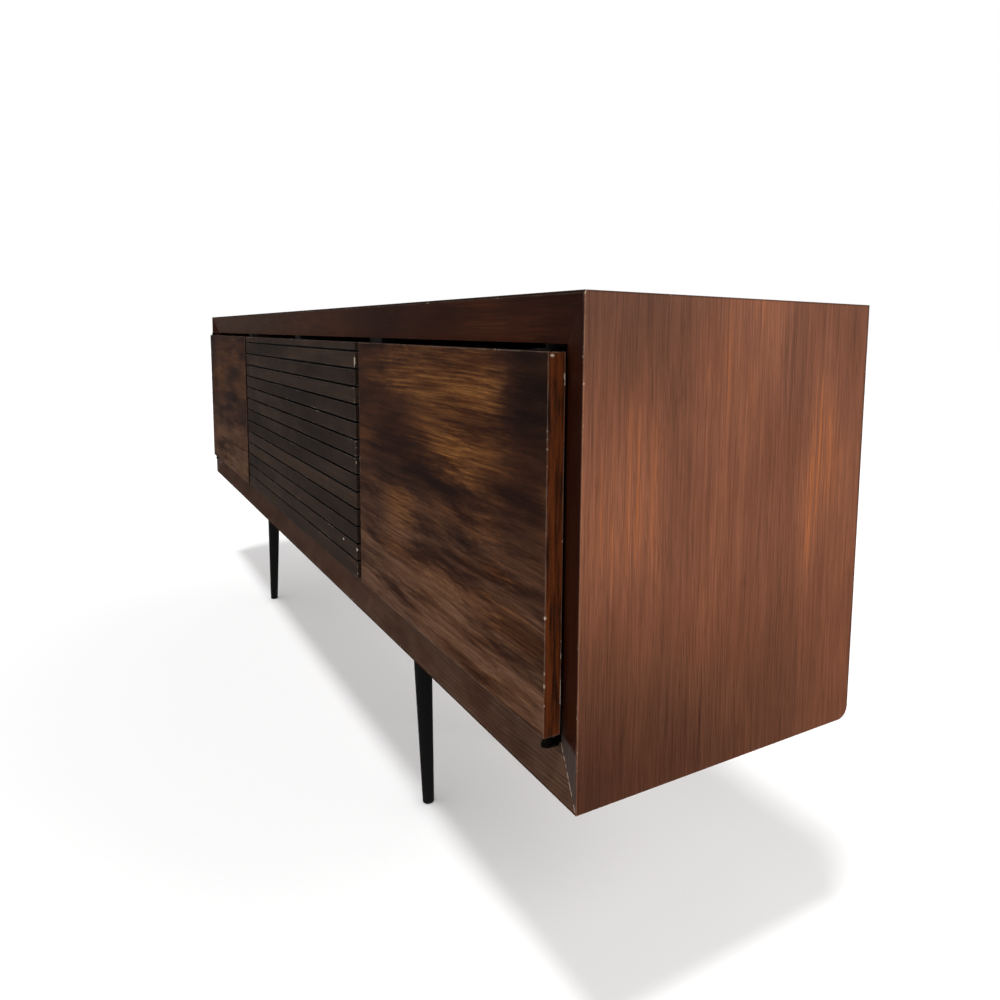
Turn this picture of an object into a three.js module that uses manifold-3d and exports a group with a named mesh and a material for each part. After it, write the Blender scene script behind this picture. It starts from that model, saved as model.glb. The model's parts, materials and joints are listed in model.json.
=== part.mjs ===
// A long sideboard on four splayed legs. A mitred case with a bevelled front frame holds three bays. The outer
// bays have plain doors on pivot hinges, and the middle bay has a slatted drop front on quadrant stays.
// Millimetres, +Z up, front facing -Y. The origin is on the floor under the middle of the whole object.
import * as THREE from "three";
import { mergeVertices } from "three/addons/utils/BufferGeometryUtils.js";
import Module from "manifold-3d";

const wasm = await Module();
wasm.setup();

// ---------- Driving dimensions ----------
// Case coordinates: X from the middle, Y back from the case's front plane, Z up from the case's underside.

const WIDTH = 2200;
const DEPTH = 393;
const HEIGHT = 500;
const BOARD = 20; // thickness of the case panels and the dividers
const VENEER = 2.25; // face veneer that runs forward over the front frame
const HEEL_RADIUS = 15; // rounding of the rear bottom edge

const BEVEL_WIDTH = 49; // the front frame's sloping face, measured in from the outer edge
const BEVEL_DROP = 12.5; // how far back its inner edge lies
const FRAME_BACK = 60; // depth to which the front frame reaches
const FRAME_REBATE = 40; // depth to which the frame lies inside the case panels

const BACK_THICKNESS = 8;
const BACK_RECESS = 2;
const BACK_REBATE = 10; // how far the back panel reaches into the case panels

const SHELF_THICKNESS = 18;
const DADO_DEPTH = 5;
const JOINT_GAP = 0.3; // play between pieces that slot into each other
const GLUE_LINE = 0.125; // at each mitred end of an upright

const FRONT_THICKNESS = 19; // doors and drop front
const FRONT_PROUD = 12.5; // how far the fronts stand before the case
const FRONT_BOTTOM = 62.5;
const FRONT_TOP = 443.5;
const DIVIDER_IN = 457; // inner face of each divider
const DIVIDER_OUT = DIVIDER_IN + BOARD;
const DOOR_OUTER = 1058; // outer end of each side door
const FLAP_HALF = DIVIDER_IN - 1; // half the width of the drop front

const SLAT_COUNT = 14;
const SLAT_DEPTH = 9.5;
const SLAT_PITCH = 28.25;
const GROOVE_WIDTH = 3.75;
const TOP_GROOVE = 430; // height of the middle of the uppermost groove

const PIN_RADIUS = 3;
const PIN_PLAY = 0.15;
const PIN_REACH = 12; // how deep a pin enters a door or the drop front
const PLATE = 2.5; // sheet steel of the hinge arms
const DOOR_PLATE = 2;
const DOOR_PIVOT = 9.5; // pivot axis, in from the door's outer end and back from its face

const FLAP_AXIS_BACK = 1.75; // the drop front turns on the middle plane of its backing
const FLAP_AXIS_UP = FRONT_BOTTOM + 9.5;

const STAY_RADIUS = 130;
const STAY_HEIGHT = 8; // radial width of the stay's bar
const STAY_THICKNESS = 3;
const STAY_INNER = 446; // inner face of the stay, next to the divider
const STAY_END_DEG = -18;
const STAY_HEAD_DEG = -14.5;
const STAY_HEAD_RISE = 2; // how far the head stands out from the bar on each side
const GUIDE_DEG = 80;

const CATCH_X = 505; // middle of each side door's catch
const CATCH_FRONT = 8.25;
const CATCH_SIZE = { width: 40, depth: 26, height: 30 };
const CATCH_DROP = 4; // how far a strike plate's middle lies below its catch's middle
const STRIKE_SIZE = { width: 30, thickness: 1.5, height: 16 };

const LEG_HEIGHT = 286;
const LEG_FOOT_RADIUS = 9;
const LEG_TOP_RADIUS = 15.5;
const LEG_FOOT_EDGE = 3; // rounding of the foot's rim
const LEG_EDGE_STEPS = 4;
const LEG_FOOT_X = 570;
const LEG_SPLAY = 26; // how far the foot stands outside the top
const LEG_INSET = 62; // leg axis, in from the case's front and back planes
const LEG_PLATE = { size: 72, thickness: 3 };

const BOTH_SIDES = [
  ["left", -1],
  ["right", 1],
];

const ROUND_SEGMENTS = 32;
const ARC_SEGMENTS = 10; // along each arc of an extruded outline
const PIN_SEGMENTS = 24;
const OVERSHOOT = 1; // how far a cutting tool reaches past the face it cuts

// ---------- Materials ----------

function material(color, roughness, metalness) {
  return new THREE.MeshStandardMaterial({ color, roughness, metalness });
}

const MATERIALS = {
  veneer: () => material(0x7d4e3a, 0.45, 0),
  frame: () => material(0x3c2319, 0.45, 0),
  door: () => material(0x3a2418, 0.4, 0),
  slat: () => material(0x2c211c, 0.5, 0),
  interior: () => material(0x6b452f, 0.6, 0),
  backing: () => material(0x5a3d2b, 0.7, 0),
  legs: () => material(0x101010, 0.35, 0.2),
  steel: () => material(0x9a9a98, 0.35, 1),
  plastic: () => material(0x3a3a38, 0.5, 0),
};

// ---------- Solids: joining and cutting closed geometries ----------

function toSolid(geometry) {
  const bare = geometry.clone();
  bare.deleteAttribute("normal");
  bare.deleteAttribute("uv");
  const merged = mergeVertices(bare);
  return new wasm.Manifold(
    new wasm.Mesh({
      numProp: 3,
      vertProperties: merged.attributes.position.array,
      triVerts: new Uint32Array(merged.index.array),
    }),
  );
}

function toGeometry(solid) {
  const mesh = solid.getMesh();
  const geometry = new THREE.BufferGeometry();
  geometry.setAttribute("position", new THREE.BufferAttribute(mesh.vertProperties, mesh.numProp));
  geometry.setIndex(new THREE.BufferAttribute(mesh.triVerts, 1));
  const faceted = geometry.toNonIndexed();
  faceted.computeVertexNormals();
  return faceted;
}

function cut(geometry, ...tools) {
  return toGeometry(tools.reduce((rest, tool) => rest.subtract(toSolid(tool)), toSolid(geometry)));
}

function join(geometry, ...others) {
  return toGeometry(others.reduce((whole, other) => whole.add(toSolid(other)), toSolid(geometry)));
}

// ---------- Basic shapes ----------

// A block between two values on each axis.
function block([x0, x1], [y0, y1], [z0, z1]) {
  const geometry = new THREE.BoxGeometry(x1 - x0, y1 - y0, z1 - z0);
  return geometry.translate((x0 + x1) / 2, (y0 + y1) / 2, (z0 + z1) / 2);
}

// The range of the given length around a middle value.
function around(middle, length) {
  return [middle - length / 2, middle + length / 2];
}

// A round bar standing on z = from.
function post(radius, from, to, segments = PIN_SEGMENTS) {
  const geometry = new THREE.CylinderGeometry(radius, radius, to - from, segments);
  return geometry.rotateX(Math.PI / 2).translate(0, 0, (from + to) / 2);
}

// A round bar along X, around the axis at the given y and z.
function crossPin(radius, from, to, y, z) {
  const geometry = new THREE.CylinderGeometry(radius, radius, to - from, PIN_SEGMENTS);
  return geometry.rotateZ(Math.PI / 2).translate((from + to) / 2, y, z);
}

function extrude(shape, depth) {
  return new THREE.ExtrudeGeometry(shape, { depth, bevelEnabled: false, curveSegments: ARC_SEGMENTS });
}

// A sheet whose outline is drawn in (y, z) and whose thickness runs from x0 to x1.
function sheetAcrossX(shape, x0, x1) {
  const turn = new THREE.Matrix4().makeBasis(
    new THREE.Vector3(0, 1, 0),
    new THREE.Vector3(0, 0, 1),
    new THREE.Vector3(1, 0, 0),
  );
  return extrude(shape, x1 - x0).applyMatrix4(turn).translate(x0, 0, 0);
}

function polygon(points) {
  return new THREE.Shape(points.map(([u, v]) => new THREE.Vector2(u, v)));
}

function add(group, name, geometry, kind) {
  const mesh = new THREE.Mesh(geometry, MATERIALS[kind]());
  mesh.name = name;
  group.add(mesh);
  return mesh;
}

// The X range between two distances from the middle, on the right (side 1) or on the left (side -1).
function sideRange(side, near, far) {
  return side > 0 ? [near, far] : [-far, -near];
}

// ---------- Case: four mitred panels and a mitred front frame ----------

// How far back the sloping front face lies at a distance in from the outer face.
function bevelBack(inset) {
  return (BEVEL_DROP * inset) / BEVEL_WIDTH;
}

const BACK_FRONT = DEPTH - BACK_RECESS - BACK_THICKNESS; // front face of the back panel

// Outlines as [back, inset]. The veneer of a panel runs to the front edge, in front of its rebate for the frame,
// and its rear inner edge is rebated for the back panel.
const PANEL_OUTLINE = [
  [0, 0],
  [bevelBack(VENEER), VENEER],
  [FRAME_REBATE, VENEER],
  [FRAME_REBATE, BOARD],
  [BACK_FRONT, BOARD],
  [BACK_FRONT, BACK_REBATE],
  [DEPTH, BACK_REBATE],
  [DEPTH, 0],
];

const FRAME_OUTLINE = [
  [bevelBack(VENEER), VENEER],
  [BEVEL_DROP, BEVEL_WIDTH],
  [FRAME_BACK, BEVEL_WIDTH],
  [FRAME_BACK, BOARD],
  [FRAME_REBATE, BOARD],
  [FRAME_REBATE, VENEER],
];

const LYING = { length: WIDTH, outward: HEIGHT / 2 };
const STANDING = { length: HEIGHT - 2 * GLUE_LINE, outward: WIDTH / 2 };

// A bar with the given outline, mitred at both ends. It is made along X with its outer face down, and is then
// turned about the middle of the case to the place that it has there.
function mitredBar(outline, { length, outward }, turn) {
  const geometry = extrude(polygon(outline), length);
  const position = geometry.attributes.position;
  for (let i = 0; i < position.count; i++) {
    const back = position.getX(i);
    const inset = position.getY(i);
    const end = Math.sign(position.getZ(i) - length / 2);
    position.setXYZ(i, end * (length / 2 - inset), back, inset - outward);
  }
  return geometry.rotateY(turn).translate(0, 0, HEIGHT / 2);
}

// The waste outside the rounded rear bottom edge, along the whole case.
function heelWaste() {
  const shape = new THREE.Shape();
  shape.moveTo(DEPTH - HEEL_RADIUS, -OVERSHOOT);
  shape.lineTo(DEPTH + OVERSHOOT, -OVERSHOOT);
  shape.lineTo(DEPTH + OVERSHOOT, HEEL_RADIUS);
  shape.lineTo(DEPTH, HEEL_RADIUS);
  shape.absarc(DEPTH - HEEL_RADIUS, HEEL_RADIUS, HEEL_RADIUS, 0, -Math.PI / 2, true);
  return sheetAcrossX(shape, -WIDTH / 2 - OVERSHOOT, WIDTH / 2 + OVERSHOOT);
}

// The groove that holds a shelf's end, cut into the face of an upright from one X to another.
function dado(xRange) {
  const height = SHELF_THICKNESS + 2 * JOINT_GAP;
  return block(xRange, [FRAME_BACK - JOINT_GAP, BACK_FRONT + OVERSHOOT], around(HEIGHT / 2, height));
}

function addCase(group) {
  add(group, "top_panel", mitredBar(PANEL_OUTLINE, LYING, Math.PI), "veneer");
  add(group, "top_front_rail", mitredBar(FRAME_OUTLINE, LYING, Math.PI), "frame");
  add(group, "bottom_panel", cut(mitredBar(PANEL_OUTLINE, LYING, 0), heelWaste()), "veneer");
  add(group, "bottom_front_rail", mitredBar(FRAME_OUTLINE, LYING, 0), "frame");
  for (const [name, side] of BOTH_SIDES) {
    const turn = (-side * Math.PI) / 2;
    const inner = WIDTH / 2 - BOARD;
    const groove = dado(sideRange(side, inner - OVERSHOOT, inner + DADO_DEPTH));
    const panel = cut(mitredBar(PANEL_OUTLINE, STANDING, turn), heelWaste(), groove);
    add(group, `${name}_side_panel`, panel, "veneer");
    add(group, `${name}_front_stile`, mitredBar(FRAME_OUTLINE, STANDING, turn), "frame");
  }
}

// ---------- Inside the case: dividers, shelves and the back panel ----------

// A divider is notched round the front rails and grooved on both faces for the shelves.
function dividerGeometry(side) {
  const front = BEVEL_DROP;
  const shape = polygon([
    [front, BEVEL_WIDTH],
    [FRAME_BACK, BEVEL_WIDTH],
    [FRAME_BACK, BOARD],
    [BACK_FRONT, BOARD],
    [BACK_FRONT, HEIGHT - BOARD],
    [FRAME_BACK, HEIGHT - BOARD],
    [FRAME_BACK, HEIGHT - BEVEL_WIDTH],
    [front, HEIGHT - BEVEL_WIDTH],
  ]);
  return cut(
    sheetAcrossX(shape, ...sideRange(side, DIVIDER_IN, DIVIDER_OUT)),
    dado(sideRange(side, DIVIDER_IN - OVERSHOOT, DIVIDER_IN + DADO_DEPTH)),
    dado(sideRange(side, DIVIDER_OUT - DADO_DEPTH, DIVIDER_OUT + OVERSHOOT)),
  );
}

function shelf(xRange) {
  return block(xRange, [FRAME_BACK, BACK_FRONT], around(HEIGHT / 2, SHELF_THICKNESS));
}

function addInterior(group) {
  const seated = DADO_DEPTH - JOINT_GAP; // how far a shelf's end reaches into its groove
  const bayOuter = WIDTH / 2 - BOARD;
  for (const [name, side] of BOTH_SIDES) {
    add(group, `${name}_divider`, dividerGeometry(side), "interior");
    const bay = sideRange(side, DIVIDER_OUT - seated, bayOuter + seated);
    add(group, `${name}_shelf`, shelf(bay), "interior");
  }
  add(group, "centre_shelf", shelf(around(0, 2 * (DIVIDER_IN + seated))), "interior");
  const back = block(
    around(0, WIDTH - 2 * BACK_REBATE),
    [BACK_FRONT, BACK_FRONT + BACK_THICKNESS],
    around(HEIGHT / 2, HEIGHT - 2 * BACK_REBATE),
  );
  add(group, "back_panel", back, "backing");
}

// ---------- Side doors and their pivot hinges ----------

const DOOR_AXIS_X = DOOR_OUTER - DOOR_PIVOT;
const DOOR_AXIS_BACK = DOOR_PIVOT - FRONT_PROUD;
const DOOR_HEIGHT = FRONT_TOP - FRONT_BOTTOM;

const ARM = { halfWidth: 6, noseBack: 11, screwRadius: 2, screwBacks: [24, 42] };
const ARM_TAB = { outer: 2, inner: -26, front: 16, back: 50 };
const COLLAR_RADIUS = 5;
const COLLAR_PLAY = 0.25; // between a collar and the plate that turns on it
const PIVOT_PLATE = { outer: 8, inner: -30, halfDepth: 6.5 };

// A hinge arm seen from above, for the right door, around its pivot: a narrow nose carries the pin, and a wider
// tab lies on the front rail, beside the stile.
function armOutline() {
  const { halfWidth, noseBack } = ARM;
  const { outer, inner, front, back } = ARM_TAB;
  const shape = new THREE.Shape();
  shape.moveTo(halfWidth, 0);
  shape.lineTo(halfWidth, noseBack);
  shape.lineTo(outer, noseBack);
  shape.lineTo(outer, back);
  shape.lineTo(inner, back);
  shape.lineTo(inner, front);
  shape.lineTo(-halfWidth, front);
  shape.lineTo(-halfWidth, 0);
  shape.absarc(0, 0, halfWidth, Math.PI, 2 * Math.PI, false);
  return shape;
}

// The arm lies on z = 0 and its collar rises to the plate under the door, whose underside is at rise.
function armGeometry(rise) {
  const middle = (ARM_TAB.outer + ARM_TAB.inner) / 2;
  const screws = ARM.screwBacks.map((back) =>
    post(ARM.screwRadius, -OVERSHOOT, PLATE + OVERSHOOT).translate(middle, back, 0),
  );
  const arm = cut(extrude(armOutline(), PLATE), ...screws);
  const collar = post(COLLAR_RADIUS, PLATE / 2, rise - COLLAR_PLAY);
  return join(arm, collar, post(PIN_RADIUS, PLATE / 2, rise + DOOR_PLATE + PIN_REACH));
}

function pivotPlateGeometry() {
  const { outer, inner, halfDepth } = PIVOT_PLATE;
  const plate = block([inner, outer], [-halfDepth, halfDepth], [0, DOOR_PLATE]);
  return cut(plate, post(PIN_RADIUS + PIN_PLAY, -OVERSHOOT, DOOR_PLATE + OVERSHOOT));
}

// A door in coordinates around its pivot axis, with its underside at z = 0.
function doorGeometry() {
  const width = DOOR_OUTER - DIVIDER_OUT;
  const slab = block([DOOR_PIVOT - width, DOOR_PIVOT], around(0, FRONT_THICKNESS), [0, DOOR_HEIGHT]);
  const hole = PIN_REACH + JOINT_GAP;
  return cut(
    slab,
    post(PIN_RADIUS + PIN_PLAY, -OVERSHOOT, hole),
    post(PIN_RADIUS + PIN_PLAY, DOOR_HEIGHT - hole, DOOR_HEIGHT + OVERSHOOT),
  );
}

// Everything around one door's pivot axis, drawn for the right side and mirrored for the left.
function addSideDoor(group, name, side) {
  const pivot = new THREE.Group();
  pivot.position.set(side * DOOR_AXIS_X, DOOR_AXIS_BACK, 0);
  pivot.scale.x = side;
  group.add(pivot);

  add(pivot, `${name}_door`, doorGeometry(), "door").position.z = FRONT_BOTTOM;

  const bottomRise = FRONT_BOTTOM - DOOR_PLATE - BEVEL_WIDTH;
  const bottomArm = add(pivot, `${name}_bottom_hinge_arm`, armGeometry(bottomRise), "steel");
  bottomArm.position.z = BEVEL_WIDTH;
  const bottomPlate = add(pivot, `${name}_bottom_pivot_plate`, pivotPlateGeometry(), "steel");
  bottomPlate.position.z = FRONT_BOTTOM - DOOR_PLATE;

  const topRise = HEIGHT - BEVEL_WIDTH - FRONT_TOP - DOOR_PLATE;
  const topArm = add(pivot, `${name}_top_hinge_arm`, armGeometry(topRise), "steel");
  topArm.position.z = HEIGHT - BEVEL_WIDTH;
  topArm.scale.z = -1;
  const topPlate = add(pivot, `${name}_top_pivot_plate`, pivotPlateGeometry(), "steel");
  topPlate.position.z = FRONT_TOP;
}

// ---------- Slatted drop front ----------

// Cutters for the pin bores in both ends of the drop front, on its axis.
function flapBores() {
  return [1, -1].map((side) => {
    const [from, to] = sideRange(side, FLAP_HALF - PIN_REACH - JOINT_GAP, FLAP_HALF + OVERSHOOT);
    return crossPin(PIN_RADIUS + PIN_PLAY, from, to, FLAP_AXIS_BACK, FLAP_AXIS_UP);
  });
}

// The height range of a slat, counted from the top: the open grooves between slats are evenly spaced.
function slatRange(index) {
  const grooveAbove = TOP_GROOVE - (index - 1) * SLAT_PITCH;
  const top = index === 0 ? FRONT_TOP : grooveAbove - GROOVE_WIDTH / 2;
  const bottom = index === SLAT_COUNT - 1 ? FRONT_BOTTOM : grooveAbove - SLAT_PITCH + GROOVE_WIDTH / 2;
  return [bottom, top];
}

function addFlap(group) {
  const slatBack = SLAT_DEPTH - FRONT_PROUD;
  const across = [-FLAP_HALF, FLAP_HALF];
  const panel = block(across, [slatBack, FRONT_THICKNESS - FRONT_PROUD], [FRONT_BOTTOM, FRONT_TOP]);
  add(group, "flap_panel", cut(panel, ...flapBores()), "slat");
  for (let index = 0; index < SLAT_COUNT; index++) {
    const name = `slat_${String(index + 1).padStart(2, "0")}`;
    add(group, name, block(across, [-FRONT_PROUD, slatBack], slatRange(index)), "slat");
  }
}

// ---------- Pivot brackets and quadrant stays of the drop front ----------

const EAR = { from: 457.5, to: 461.5, front: -6, halfHeight: 9 };
const FOOT = { to: 475, thickness: 2.5, halfHeight: 13 };
const STAY_FOOT = { from: 434, thickness: 2, halfHeight: 15 };
const GUIDE = { tangent: 14, radial: 18, from: 443, play: 0.5 };

// An ear beside the end of the drop front carries the pin, and a foot is screwed to the divider's front edge.
function flapBracketGeometry(side) {
  const ear = block(
    sideRange(side, EAR.from, EAR.to),
    [EAR.front, BEVEL_DROP],
    around(FLAP_AXIS_UP, 2 * EAR.halfHeight),
  );
  const foot = block(
    sideRange(side, EAR.from, FOOT.to),
    [BEVEL_DROP - FOOT.thickness, BEVEL_DROP],
    around(FLAP_AXIS_UP, 2 * FOOT.halfHeight),
  );
  const [from, to] = sideRange(side, FLAP_HALF - PIN_REACH, EAR.to - OVERSHOOT);
  return join(ear, foot, crossPin(PIN_RADIUS, from, to, FLAP_AXIS_BACK, FLAP_AXIS_UP));
}

// The stay's bar is an arc around the flap's axis, drawn in (y, z), with a wider head at its free end.
function stayOutline(endAngle) {
  const end = THREE.MathUtils.degToRad(STAY_END_DEG);
  const neck = THREE.MathUtils.degToRad(STAY_HEAD_DEG);
  const half = STAY_HEIGHT / 2;
  const shape = new THREE.Shape();
  const arc = (radius, from, to) =>
    shape.absarc(FLAP_AXIS_BACK, FLAP_AXIS_UP, radius, from, to, from > to);
  arc(STAY_RADIUS + half + STAY_HEAD_RISE, end, neck);
  arc(STAY_RADIUS + half, neck, endAngle);
  arc(STAY_RADIUS - half, endAngle, neck);
  arc(STAY_RADIUS - half - STAY_HEAD_RISE, neck, end);
  return shape;
}

// The stay slides through its guide as the flap opens. Its foot is fixed to the back of the flap, and its head
// stops it in the guide.
function stayGeometry(side) {
  const flapBack = FRONT_THICKNESS - FRONT_PROUD;
  const reach = flapBack + STAY_FOOT.thickness / 2 - FLAP_AXIS_BACK;
  const across = sideRange(side, STAY_INNER, STAY_INNER + STAY_THICKNESS);
  const bar = sheetAcrossX(stayOutline(Math.acos(reach / STAY_RADIUS)), ...across);
  const foot = block(
    sideRange(side, STAY_FOOT.from, STAY_INNER + STAY_THICKNESS),
    [flapBack, flapBack + STAY_FOOT.thickness],
    around(FLAP_AXIS_UP + STAY_RADIUS, 2 * STAY_FOOT.halfHeight),
  );
  return join(bar, foot);
}

// The guide is a block on the divider's inner face with a slot that the stay slides through. It is drawn at the
// flap's axis, reaching out along Y, and is then swung up to its angle.
function guideGeometry(side) {
  const along = around(0, GUIDE.tangent);
  const body = block(sideRange(side, GUIDE.from, DIVIDER_IN), around(STAY_RADIUS, GUIDE.radial), along);
  const slot = block(
    sideRange(side, STAY_INNER - GUIDE.play, STAY_INNER + STAY_THICKNESS + GUIDE.play),
    around(STAY_RADIUS, STAY_HEIGHT + 2 * GUIDE.play),
    around(0, GUIDE.tangent + 2 * OVERSHOOT),
  );
  return cut(body, slot).rotateX(THREE.MathUtils.degToRad(GUIDE_DEG));
}

function addFlapHardware(group) {
  for (const [name, side] of BOTH_SIDES) {
    add(group, `${name}_flap_bracket`, flapBracketGeometry(side), "steel");
    add(group, `${name}_flap_stay`, stayGeometry(side), "steel");
    const guide = add(group, `${name}_stay_guide`, guideGeometry(side), "plastic");
    guide.position.set(0, FLAP_AXIS_BACK, FLAP_AXIS_UP);
  }
}

// ---------- Magnetic catches under the top rail ----------

function addCatches(group) {
  const { width, depth, height } = CATCH_SIZE;
  const under = HEIGHT - BEVEL_WIDTH;
  const frontBack = FRONT_THICKNESS - FRONT_PROUD; // the rear face of the doors and the drop front
  const places = { left: -CATCH_X, centre: 0, right: CATCH_X };
  for (const [name, x] of Object.entries(places)) {
    const body = block(around(x, width), [CATCH_FRONT, CATCH_FRONT + depth], [under - height, under]);
    add(group, `${name}_magnetic_catch`, body, "plastic");
    const strike = block(
      around(x, STRIKE_SIZE.width),
      [frontBack, frontBack + STRIKE_SIZE.thickness],
      around(under - height / 2 - CATCH_DROP, STRIKE_SIZE.height),
    );
    add(group, `${name}_strike_plate`, strike, "steel");
  }
}

// ---------- Legs ----------

// A tapered round leg with an eased foot, leaning outwards: each of its level sections is moved along X.
function legGeometry(side) {
  const top = LEG_HEIGHT - LEG_PLATE.thickness;
  const rim = LEG_FOOT_RADIUS - LEG_FOOT_EDGE;
  const profile = new THREE.Path();
  profile.moveTo(0, 0);
  profile.lineTo(rim, 0);
  profile.absarc(rim, LEG_FOOT_EDGE, LEG_FOOT_EDGE, -Math.PI / 2, 0, false);
  profile.lineTo(LEG_TOP_RADIUS, top);
  profile.lineTo(0, top);
  const leg = new THREE.LatheGeometry(profile.getPoints(LEG_EDGE_STEPS), ROUND_SEGMENTS);
  const lean = new THREE.Matrix4().makeShear(0, 0, 0, 0, (-side * LEG_SPLAY) / LEG_HEIGHT, 0);
  return leg.rotateX(Math.PI / 2).applyMatrix4(lean);
}

function addLegs(group) {
  const { size, thickness } = LEG_PLATE;
  const rows = { front: LEG_INSET, rear: DEPTH - LEG_INSET };
  for (const [row, back] of Object.entries(rows)) {
    for (const [name, side] of BOTH_SIDES) {
      const leg = add(group, `${row}_${name}_leg`, legGeometry(side), "legs");
      leg.position.set(side * LEG_FOOT_X, back, -LEG_HEIGHT);
      const topX = side * (LEG_FOOT_X - LEG_SPLAY);
      const plate = block(around(topX, size), around(back, size), [-thickness, 0]);
      add(group, `${row}_${name}_leg_plate`, plate, "legs");
    }
  }
}

// ---------- Assembly ----------

const sideboard = new THREE.Group();
const body = new THREE.Group();
body.position.set(0, (FRONT_PROUD - DEPTH) / 2, LEG_HEIGHT);
sideboard.add(body);

addCase(body);
addInterior(body);
for (const [name, side] of BOTH_SIDES) addSideDoor(body, name, side);
addFlap(body);
addFlapHardware(body);
addCatches(body);
addLegs(body);

export default sideboard;
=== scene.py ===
"""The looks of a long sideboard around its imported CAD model: worn, stained wood, black legs and plain hinges.

Everything is in metres in the row frame: X along the front, Y to the back, Z up, with the floor at z = 0.
"""

import json
import math

import bpy
from mathutils import Matrix, Vector


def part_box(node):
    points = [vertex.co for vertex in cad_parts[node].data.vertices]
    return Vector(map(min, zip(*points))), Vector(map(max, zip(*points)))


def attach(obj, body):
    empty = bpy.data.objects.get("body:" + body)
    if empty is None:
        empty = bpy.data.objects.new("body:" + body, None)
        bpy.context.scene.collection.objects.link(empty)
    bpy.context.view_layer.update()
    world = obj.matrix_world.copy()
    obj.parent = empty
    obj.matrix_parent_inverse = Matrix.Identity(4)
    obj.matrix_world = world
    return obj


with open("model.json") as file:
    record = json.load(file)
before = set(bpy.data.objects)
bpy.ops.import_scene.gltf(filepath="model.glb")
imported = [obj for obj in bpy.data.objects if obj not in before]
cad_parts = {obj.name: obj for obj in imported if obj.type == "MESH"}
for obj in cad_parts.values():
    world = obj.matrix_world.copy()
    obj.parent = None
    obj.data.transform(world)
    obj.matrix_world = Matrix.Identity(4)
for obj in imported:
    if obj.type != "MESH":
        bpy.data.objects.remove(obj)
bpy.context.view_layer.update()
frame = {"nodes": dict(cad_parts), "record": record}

MM = 0.001

# ---------- Places taken from the frame ----------

CASE_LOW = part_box("left_side_panel")[0]
CASE_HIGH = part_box("right_side_panel")[1]
CASE_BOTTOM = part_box("bottom_panel")[0].z
CASE_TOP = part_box("top_panel")[1].z
DOOR_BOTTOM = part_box("right_door")[0].z


# ---------- Camera, light and floor ----------

CAMERA_HEADING = 57.219  # degrees to the left of straight at the front
CAMERA_TILT = -6.360
CAMERA_ROLL = 0.983
CAMERA_LENS = 28.45
CAMERA_SHIFT = (-0.0799, -0.0750)
CAMERA_RIGHT_OF_CASE = 0.5976  # how far the camera stands outside the case's right end
CAMERA_BEFORE_CASE = 0.3879
CAMERA_BELOW_TOP = 0.0422

OVERHEAD_FROM = (0.5, -0.8, 3.8)  # slightly right of the case and before it
OVERHEAD_POWER = 1.5
OVERHEAD_ANGLE = 9  # degrees across, which softens the shadow
SOFTBOX_FROM = (2.9, 1.3, 1.9)
SOFTBOX_TARGET = (CASE_HIGH.x, 0, 0.7)
SOFTBOX_POWER = 24
SOFTBOX_SIZE = 1.2
SOFTBOX_COLOUR = (1.0, 0.94, 0.88)

DOME_ZENITH = 0.2  # the radiance of the studio dome, from top to bottom
DOME_HORIZON = 1.65
DOME_BELOW = 0.22
DOME_IN_GLOSS = 0.05  # as the finish mirrors it

FLOOR_REACH = 40
FLOOR_WHITES = ((0.90, 0.90, 0.90, 1), (0.93, 0.93, 0.93, 1))


def add_camera():
    """The photograph's view, from a little right of the case and before it, at the height of its top."""
    data = bpy.data.cameras.new("camera")
    data.sensor_width = 36
    data.lens = CAMERA_LENS
    data.shift_x, data.shift_y = CAMERA_SHIFT
    data.clip_start = 0.01
    camera = bpy.data.objects.new("camera", data)
    place = Vector((
        CASE_HIGH.x + CAMERA_RIGHT_OF_CASE,
        CASE_LOW.y - CAMERA_BEFORE_CASE,
        CASE_TOP - CAMERA_BELOW_TOP,
    ))
    heading = Matrix.Rotation(math.radians(CAMERA_HEADING), 4, "Z")
    level = Matrix.Rotation(math.radians(90 + CAMERA_TILT), 4, "X")
    roll = Matrix.Rotation(math.radians(CAMERA_ROLL), 4, "Z")
    camera.matrix_world = Matrix.Translation(place) @ heading @ level @ roll
    bpy.context.scene.collection.objects.link(camera)
    bpy.context.scene.camera = camera


def add_light(name, kind, place, target, power):
    data = bpy.data.lights.new(name, kind)
    data.energy = power
    light = bpy.data.objects.new(name, data)
    light.location = place
    aim = Vector(target) - Vector(place)
    light.rotation_euler = aim.to_track_quat("-Z", "Y").to_euler()
    light.visible_camera = False
    bpy.context.scene.collection.objects.link(light)
    return data


def add_lights():
    """A broad overhead light, and a warm softbox by the case's right end."""
    overhead = add_light("overhead_light", "SUN", OVERHEAD_FROM, (0, 0, 0), OVERHEAD_POWER)
    overhead.angle = math.radians(OVERHEAD_ANGLE)
    softbox = add_light("right_softbox", "AREA", SOFTBOX_FROM, SOFTBOX_TARGET, SOFTBOX_POWER)
    softbox.size = SOFTBOX_SIZE
    softbox.color = SOFTBOX_COLOUR


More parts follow.
